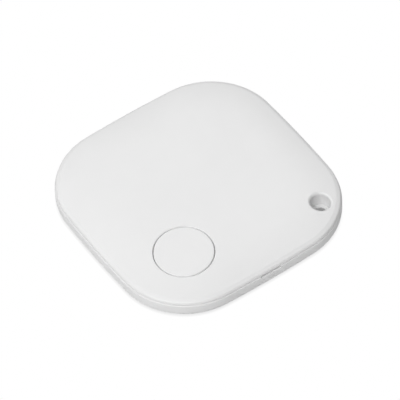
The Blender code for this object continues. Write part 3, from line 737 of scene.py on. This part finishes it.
def on_board(x, y, margin):
    """True where the board's top is clear of its cut-outs, its posts and the parts on it."""
    posts = [(at, POST_CUTOUT) for at in BOARD_POSTS]
    for at, radius in [(CELL_AT, CELL_CUTOUT), (HOLE_AT, HOLE_CUTOUT)] + posts:
        if math.hypot(x - at.x, y - at.y) < radius + margin:
            return False
    if x > CELL_AT.x - margin and y > CELL_AT.y - CELL_BAY[1] - margin:
        return False
    if x > CELL_AT.x - CELL_BAY[0] - margin and y > CELL_AT.y - margin:
        return False
    for node in BOARD_NODES:
        low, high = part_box(node)
        if low.x - margin < x < high.x + margin and low.y - margin < y < high.y + margin:
            return False
    return True


def add_via(bm, at):
    inner, outer = VIA
    top = BOARD_TOP + COPPER_HEIGHT
    profile = [(inner, BOARD_TOP), (outer, BOARD_TOP), (outer - COPPER_HEIGHT, top), (inner, top)]
    add_turned(bm, at, profile, closed=True)


def add_test_pad(bm, at):
    top = BOARD_TOP + COPPER_HEIGHT
    profile = [(TEST_PAD_RADIUS, BOARD_TOP), (TEST_PAD_RADIUS, top - 0.008 * MM)]
    add_turned(bm, at, profile + [(TEST_PAD_RADIUS - COPPER_HEIGHT, top)])


def vias_and_test_pads():
    """Plated holes that follow the board's edge, and a row of test pads."""
    bm = bmesh.new()
    path = outline(VIA_INSET)
    travelled = 0.0
    for here, after in zip(path, path[1:] + path[:1]):
        length = (after - here).length
        while travelled < length:
            at = here.lerp(after, travelled / length)
            if on_board(at.x, at.y, VIA_MARGIN):
                add_via(bm, at)
            travelled += VIA_SPACING
        travelled -= length
    for i in range(5):
        add_test_pad(bm, TEST_PADS_AT + Vector((0, i * TEST_PAD_SPACING, 0)))
    return smooth(new_object("vias_and_test_pads", bm))


def clear_runs(here, after):
    """The stretches of a straight track that are clear of everything on the board."""
    steps = max(1, int((after - here).length / TRACK_STEP))
    runs, current = [], []
    for i in range(steps + 1):
        p = here.lerp(after, i / steps)
        if on_board(p.x, p.y, TRACK_MARGIN):
            current.append(p)
        elif current:
            runs.append(current)
            current = []
    return [run for run in [*runs, current] if len(run) > 1]


def add_track(bm, points):
    top = BOARD_TOP + TRACK_HEIGHT
    for here, after in zip(points, points[1:]):
        if (after - here).length < SHORTEST_TRACK:
            continue
        along = (after - here).normalized()
        across = Vector((-along.y, along.x, 0)) * TRACK_WIDTH / 2
        for run in clear_runs(here, after):
            loops = []
            for p in (run[0] - along * TRACK_WIDTH / 3, run[-1] + along * TRACK_WIDTH / 3):
                corners = (p + across, p - across, p - across * 0.8, p + across * 0.8)
                heights = (BOARD_TOP, BOARD_TOP, top, top)
                loops.append([bm.verts.new((c.x, c.y, z)) for c, z in zip(corners, heights)])
            bridge(bm, loops)


def box_middle(node):
    low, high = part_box(node)
    return Vector(((low.x + high.x) / 2, (low.y + high.y) / 2, 0))


def board_tracks():
    """Copper tracks under the solder mask, which stand up from it by the copper's thickness."""
    bm = bmesh.new()
    for first, last, shift in TRACKS:
        start, end = box_middle(first), box_middle(last)
        start.x += shift * MM
        end.x += shift * MM
        run = end - start
        slant = min(abs(run.x), abs(run.y))
        turn_at = Vector((end.x - math.copysign(slant, run.x), end.y - math.copysign(slant, run.y), 0))
        add_track(bm, [start, turn_at, end])
    return new_object("board_tracks", bm)


def crystal_lid(node):
    """A metal lid with rounded corners, a little smaller than the ceramic base under it."""
    low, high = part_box(node)
    bm = bmesh.new()
    seam = low.z + (high.z - low.z) * LID_START
    soft_box(bm, Vector((low.x, low.y, seam)) + LID_INSET, high - LID_INSET, LID_ROUND)
    return smooth(new_object(node + "_lid", bm))


def crystal_base(node):
    low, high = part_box(node)
    bm = bmesh.new()
    soft_box(bm, low, Vector((high.x, high.y, low.z + (high.z - low.z) * BASE_SHARE)), BASE_ROUND)
    return smooth(new_object(node + "_base", bm))


def inductor_body():
    """A square ferrite block with chamfered corners and the round end of its core on top."""
    low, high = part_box("boost_inductor")
    bm = bmesh.new()
    shoulder = high.z - CORE_PROUD
    soft_box(bm, low, Vector((high.x, high.y, shoulder)), INDUCTOR_ROUND)
    radius = (high.x - low.x) * CORE_SHARE
    profile = [(radius, shoulder - 0.3 * MM), (radius, high.z - CORE_BEVEL), (radius - 0.04 * MM, high.z)]
    profile += [(radius * 0.3, high.z), (radius * 0.28, high.z - 0.04 * MM)]
    add_turned(bm, (low + high) / 2, profile, steps=48)
    return smooth(new_object("inductor_skin", bm))


def fine_cell_can():
    """The can's rolled edge and its pressed face, with the plus sign that marks every cell's can."""
    low, high = CELL_LOW.z, CELL_HIGH.z
    face, middle = high - CAN_FACE_DROP, CELL_RADIUS * 0.2
    profile = [(middle, face), (CELL_RADIUS * 0.6, face), (CELL_RADIUS - 1.3 * MM, face)]
    profile += [(CELL_RADIUS - 1.1 * MM, high - 0.03 * MM), (CELL_RADIUS - 0.95 * MM, high)]
    for angle in reversed(quarter_turn(8)):
        inset = CAN_ROLL * (1 - math.cos(angle))
        profile.append((CELL_RADIUS - inset, high - 0.02 * MM - CAN_ROLL * (1 - math.sin(angle))))
    profile += [(CELL_RADIUS, low + 0.16 * MM), (CELL_RADIUS - 0.15 * MM, low + 0.02 * MM)]
    profile += [(CELL_RADIUS - 0.6 * MM, low), (CELL_RADIUS - 0.6 * MM, low + 0.2 * MM)]
    profile.append((CELL_RADIUS - CAN_WALL, low + 0.4 * MM))
    profile += [(CELL_RADIUS - CAN_WALL, high - 0.25 * MM), (middle, high - 0.25 * MM)]
    can = turned("cell_can_skin", CELL_AT, profile, steps=128)
    long, wide = CAN_MARK_BAR
    mark = box("tool", CAN_MARK_AT, (long, wide, 0.2 * MM), high - CAN_MARK_DEPTH)
    join(mark, box("tool", CAN_MARK_AT, (wide, long, 0.2 * MM), high - CAN_MARK_DEPTH))
    cut(can, mark)
    return smooth(can, 25)


def sounder_electrode():
    """The fired silver layer on the ceramic disc's open face."""
    low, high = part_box("sounder_ceramic")
    radius = (high.x - low.x) / 2 - ELECTRODE_MARGIN
    profile = [(radius, low.z), (radius, low.z - 0.006 * MM), (radius - 0.03 * MM, low.z - 0.01 * MM)]
    return smooth(turned("sounder_electrode", SOUNDER_AT, profile))


def chip_corner_mark():
    """The round corner mark moulded into the radio chip."""
    low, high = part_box("radio_chip")
    at = Vector((low.x + 0.8 * MM, high.y - 0.8 * MM, 0))
    profile = [(0.28 * MM, high.z), (0.28 * MM, high.z + 0.004 * MM), (0.25 * MM, high.z + 0.008 * MM)]
    return smooth(turned("chip_corner_mark", at, profile, steps=32))


class Look:
    """A node material in the making."""

    def __init__(self, name):
        self.material = bpy.data.materials.new(name)
        self.material.use_nodes = True
        self.tree = self.material.node_tree
        self.shader = self.tree.nodes["Principled BSDF"]

    def node(self, kind, **values):
        made = self.tree.nodes.new(kind)
        for key, value in values.items():
            setattr(made, key, value)
        return made

    def link(self, source, target):
        self.tree.links.new(source, target)

    def set(self, name, value):
        self.shader.inputs[name].default_value = value

    def noise(self, scale, detail=2.0, stretch=(1, 1, 1)):
        """Noise in the object's own coordinates, in features per metre."""
        place = self.node("ShaderNodeTexCoord")
        mapping = self.node("ShaderNodeMapping")
        mapping.inputs["Scale"].default_value = stretch
        self.link(place.outputs["Object"], mapping.inputs["Vector"])
        noise = self.node("ShaderNodeTexNoise")
        noise.inputs["Scale"].default_value = scale
        noise.inputs["Detail"].default_value = detail
        self.link(mapping.outputs["Vector"], noise.inputs["Vector"])
        return noise.outputs["Fac"]

    def ramp(self, source, low, high):
        """Goes from one colour to the other over the middle of the source's range."""
        ramp = self.node("ShaderNodeValToRGB")
        for stop, position, colour in zip(ramp.color_ramp.elements, (0.3, 0.7), (low, high)):
            stop.position = position
            stop.color = (*colour, 1)
        self.link(source, ramp.inputs["Fac"])
        return ramp.outputs["Color"]

    def mapped(self, source, start, end, low, high):
        change = self.node("ShaderNodeMapRange")
        for name, value in (("From Min", start), ("From Max", end), ("To Min", low), ("To Max", high)):
            change.inputs[name].default_value = value
        self.link(source, change.inputs["Value"])
        return change.outputs["Result"]

    def vary(self, source, low, high, target):
        self.link(self.mapped(source, 0.3, 0.7, low, high), self.shader.inputs[target])

    def bump(self, source, distance, strength=1.0):
        bump = self.node("ShaderNodeBump")
        bump.inputs["Strength"].default_value = strength
        bump.inputs["Distance"].default_value = distance
        self.link(source, bump.inputs["Height"])
        self.link(bump.outputs["Normal"], self.shader.inputs["Normal"])


def moulded_plastic():
    look = Look("white_moulded_plastic")
    tone = look.ramp(look.noise(130, 3.0), (0.752, 0.752, 0.752), (0.768, 0.768, 0.768))
    look.link(tone, look.shader.inputs["Base Color"])
    look.vary(look.noise(1800), 0.34, 0.41, "Roughness")
    look.bump(look.noise(9000), 0.0012 * MM, 0.5)
    look.set("Specular IOR Level", 0.4)
    return look.material


def plain(name, low, high, roughness, metallic=0.0, scale=900, grain=6000, height=0.002):
    """A material between two colours, with a fine grain whose height is in millimetres."""
    look = Look(name)
    look.link(look.ramp(look.noise(scale, 3.0), low, high), look.shader.inputs["Base Color"])
    look.vary(look.noise(scale * 2.3), roughness * 0.85, min(1.0, roughness * 1.15), "Roughness")
    look.set("Metallic", metallic)
    look.bump(look.noise(grain), height * MM)
    return look.material


def brushed(name, low, high, roughness, scale=260):
    """Sheet metal with the fine grain of rolling along X."""
    look = Look(name)
    grain = look.noise(scale, 4.0, (0.6, 22, 1))
    look.link(look.ramp(grain, low, high), look.shader.inputs["Base Color"])
    look.vary(grain, roughness * 0.8, roughness * 1.25, "Roughness")
    look.set("Metallic", 1.0)
    look.bump(grain, 0.0015 * MM)
    return look.material


def laminate():
    """Green solder mask on the faces of the board, and bare glass-fibre laminate at its cut edges."""
    look = Look("solder_mask")
    mask = look.ramp(look.noise(700, 3.0), (0.012, 0.105, 0.05), (0.016, 0.14, 0.066))
    fibre = look.ramp(look.noise(5000, 2.0, (1, 1, 6)), (0.42, 0.36, 0.2), (0.56, 0.5, 0.32))
    facing = look.node("ShaderNodeNewGeometry")
    split = look.node("ShaderNodeSeparateXYZ")
    look.link(facing.outputs["Normal"], split.inputs["Vector"])
    flat = look.node("ShaderNodeMath", operation="ABSOLUTE")
    look.link(split.outputs["Z"], flat.inputs[0])
    choice = look.node("ShaderNodeMix", data_type="RGBA")
    look.link(flat.outputs["Value"], choice.inputs["Factor"])
    # The mix node's sockets for colours: inputs 6 and 7, output 2.
    look.link(fibre, choice.inputs[6])
    look.link(mask, choice.inputs[7])
    look.link(choice.outputs[2], look.shader.inputs["Base Color"])
    look.vary(look.noise(1500), 0.24, 0.34, "Roughness")
    look.bump(look.noise(2600), 0.003 * MM)
    return look.material


def make_looks():
    return {
        "steel": brushed("cell_steel", (0.5, 0.5, 0.51), (0.64, 0.64, 0.65), 0.3),
        "nickel": brushed("nickel", (0.58, 0.57, 0.53), (0.7, 0.69, 0.66), 0.3, 500),
        "gold": plain("gold", (0.75, 0.52, 0.2), (0.86, 0.64, 0.3), 0.28, 1.0),
        "brass": brushed("brass", (0.64, 0.44, 0.17), (0.76, 0.55, 0.26), 0.33, 300),
        "tin": plain("tin", (0.6, 0.6, 0.61), (0.74, 0.74, 0.75), 0.34, 1.0, 4000, 9000, 0.004),
        "silver": plain("fired_silver", (0.7, 0.7, 0.69), (0.82, 0.82, 0.8), 0.5, 1.0, 3000, 14000, 0.004),
        "piezo": plain("piezo_ceramic", (0.74, 0.7, 0.6), (0.8, 0.76, 0.66), 0.6, 0.0, 2500, 9000, 0.003),
        "tape": plain("tape", (0.8, 0.78, 0.7), (0.86, 0.84, 0.77), 0.8, 0.0, 2500, 5000, 0.01),
        "foam": plain("foam", (0.012, 0.012, 0.012), (0.06, 0.06, 0.06), 0.95, 0.0, 6000, 5000, 0.08),
        "silicone": plain("silicone", (0.26, 0.27, 0.29), (0.31, 0.32, 0.34), 0.5, 0.0, 1500, 8000, 0.003),
        "board": laminate(),
        "track": plain("masked_copper", (0.022, 0.17, 0.075), (0.03, 0.21, 0.09), 0.28, 0, 900, 5000, 0.001),
        "epoxy": plain("epoxy", (0.016, 0.016, 0.018), (0.032, 0.032, 0.034), 0.5, 0.0, 5000, 12000, 0.005),
        "mark": plain("moulded_mark", (0.09, 0.09, 0.095), (0.13, 0.13, 0.135), 0.6),
        "tan": plain("chip_tan", (0.34, 0.235, 0.13), (0.44, 0.32, 0.2), 0.5, 0.0, 4000, 9000, 0.003),
        "white": plain("chip_white", (0.7, 0.72, 0.74), (0.8, 0.82, 0.84), 0.45, 0.0, 3000, 9000, 0.002),
        "ferrite": plain("ferrite", (0.05, 0.05, 0.055), (0.12, 0.12, 0.13), 0.6, 0.0, 4000, 8000, 0.008),
        "black": plain("black_plastic", (0.02, 0.02, 0.02), (0.04, 0.04, 0.04), 0.45, 0.0, 2500, 9000, 0.003),
        "lithium": plain("lithium", (0.45, 0.45, 0.46), (0.6, 0.6, 0.61), 0.5, 1.0),
        "cathode": plain("cathode", (0.02, 0.02, 0.02), (0.05, 0.05, 0.05), 0.95, 0.0, 5000, 8000, 0.01),
        "film": plain("film", (0.82, 0.82, 0.82), (0.88, 0.88, 0.88), 0.7),
    }


def dress_nodes(looks):
    for look, nodes in NODE_LOOKS.items():
        for node in nodes:
            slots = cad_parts[node].data.materials
            slots.clear()
            slots.append(looks[look])


def place(piece, look, body, replaced=None):
    piece.data.materials.clear()
    piece.data.materials.append(look)
    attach(piece, body)
    if replaced:
        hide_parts(replaced)


def place_details(looks):
    place(chip_ends(), looks["tin"], "tray")
    place(solder_pads(), looks["tin"], "tray")
    place(chip_terminals(), looks["tin"], "tray")
    place(chip_legs(), looks["tin"], "tray")
    place(chip_corner_mark(), looks["mark"], "tray")
    place(vias_and_test_pads(), looks["gold"], "tray")
    place(board_tracks(), looks["track"], "tray")
    place(sounder_electrode(), looks["silver"], "cover")


def occlusion(look, distance):
    node = look.node("ShaderNodeAmbientOcclusion", samples=24)
    node.inputs["Distance"].default_value = distance
    return node.outputs["AO"]


def make_floor():
    """White studio paper. The camera sees it as a glow painted white, with painted shadow close under the
    tag's edge and painted shade under the lanyard hole; other rays see plain diffuse paper.
    """
    bm = bmesh.new()
    bmesh.ops.create_grid(bm, x_segments=1, y_segments=1, size=PAPER_SIZE)
    floor = new_object("floor", bm)
    floor.location.z = -PAPER_DROP
    look = Look("floor")
    # Painted shadow: the camera's glow is dimmed by two occlusion lookups, a narrow one for the contact
    # shadow at the tag's edge and a wide one for the painted shade under the lanyard hole.
    both = look.node("ShaderNodeMath", operation="MULTIPLY")
    look.link(look.mapped(occlusion(look, SHADOW_REACH), 0.35, 0.95, SHADOW_TONE, 1), both.inputs[0])
    look.link(look.mapped(occlusion(look, HOLE_SHADE_REACH), 0.14, 0.2, HOLE_SHADE_TONE, 1), both.inputs[1])
    seen = look.node("ShaderNodeEmission")
    look.link(both.outputs["Value"], seen.inputs["Strength"])
    paper = look.node("ShaderNodeBsdfDiffuse")
    paper.inputs["Color"].default_value = (PAPER_TONE, PAPER_TONE, PAPER_TONE, 1)
    path = look.node("ShaderNodeLightPath")
    choice = look.node("ShaderNodeMixShader")
    look.link(path.outputs["Is Camera Ray"], choice.inputs["Fac"])
    look.link(paper.outputs["BSDF"], choice.inputs[1])
    look.link(seen.outputs["Emission"], choice.inputs[2])
    look.link(choice.outputs["Shader"], look.tree.nodes["Material Output"].inputs["Surface"])
    floor.data.materials.append(look.material)


def make_surroundings():
    """The studio around the tag: white to the camera, bright in reflections, and a weak fill light."""
    world = bpy.data.worlds.new("studio")
    bpy.context.scene.world = world
    world.use_nodes = True
    nodes, links = world.node_tree.nodes, world.node_tree.links
    fill = nodes["Background"]
    backdrop = nodes.new("ShaderNodeBackground")
    for background in (fill, backdrop):
        background.inputs["Color"].default_value = (1, 1, 1, 1)
    path = nodes.new("ShaderNodeLightPath")
    strength = nodes.new("ShaderNodeMapRange")
    strength.inputs["To Min"].default_value = WORLD_LIGHT
    strength.inputs["To Max"].default_value = WORLD_MIRRORED
    links.new(path.outputs["Is Glossy Ray"], strength.inputs["Value"])
    links.new(strength.outputs["Result"], fill.inputs["Strength"])
    mix = nodes.new("ShaderNodeMixShader")
    links.new(path.outputs["Is Camera Ray"], mix.inputs["Fac"])
    links.new(fill.outputs["Background"], mix.inputs[1])
    links.new(backdrop.outputs["Background"], mix.inputs[2])
    links.new(mix.outputs["Shader"], nodes["World Output"].inputs["Surface"])


def make_lights():
    for name, around, power in LIGHTS:
        data = bpy.data.lights.new(name, "AREA")
        data.shape = "DISK"
        data.size = LIGHT_SIZE
        data.energy = power
        light = bpy.data.objects.new(name, data)
        bpy.context.scene.collection.objects.link(light)
        turn = math.radians(around)
        level = math.cos(LIGHT_RISE)
        direction = Vector((math.cos(turn) * level, math.sin(turn) * level, math.sin(LIGHT_RISE)))
        light.location = direction * LIGHT_DISTANCE
        light.rotation_euler = direction.to_track_quat("Z", "Y").to_euler()


def make_camera():
    level = Vector((math.cos(CAMERA_AROUND), math.sin(CAMERA_AROUND), 0))
    away = math.cos(CAMERA_RISE)
    back = Vector((math.sin(CAMERA_AROUND) * away, -math.cos(CAMERA_AROUND) * away, math.sin(CAMERA_RISE)))
    upright = back.cross(level)
    right = level * math.cos(CAMERA_ROLL) + upright * math.sin(CAMERA_ROLL)
    top = upright * math.cos(CAMERA_ROLL) - level * math.sin(CAMERA_ROLL)
    aim = Vector((0, 0, AIM_HEIGHT)) + right * AIM_BESIDE - top * AIM_BELOW
    data = bpy.data.cameras.new("camera")
    data.lens = CAMERA_LENS
    data.sensor_width = SENSOR_WIDTH
    data.clip_start = 0.01
    data.clip_end = 20.0
    camera = bpy.data.objects.new("camera", data)
    bpy.context.scene.collection.objects.link(camera)
    axes = Matrix((right, top, back)).transposed().to_4x4()
    camera.matrix_world = Matrix.Translation(aim + back * CAMERA_DISTANCE) @ axes
    bpy.context.scene.camera = camera


def main():
    plastic = moulded_plastic()
    looks = make_looks()
    place(make_cover(), plastic, "cover", "top_shell")
    place(make_button(), plastic, "button", "button_cap")
    place(make_tray(), plastic, "tray", "bottom_shell")
    place(inductor_body(), looks["ferrite"], "tray", "boost_inductor")
    place(fine_cell_can(), looks["steel"], "cell", "cell_can")
    dress_nodes(looks)
    place_details(looks)
    for crystal in ("main_crystal", "clock_crystal"):
        place(crystal_lid(crystal), looks["nickel"], "tray", crystal)
        place(crystal_base(crystal), looks["white"], "tray")
    make_floor()
    make_surroundings()
    make_lights()
    make_camera()
    bpy.context.scene.view_settings.view_transform = "Standard"


main()
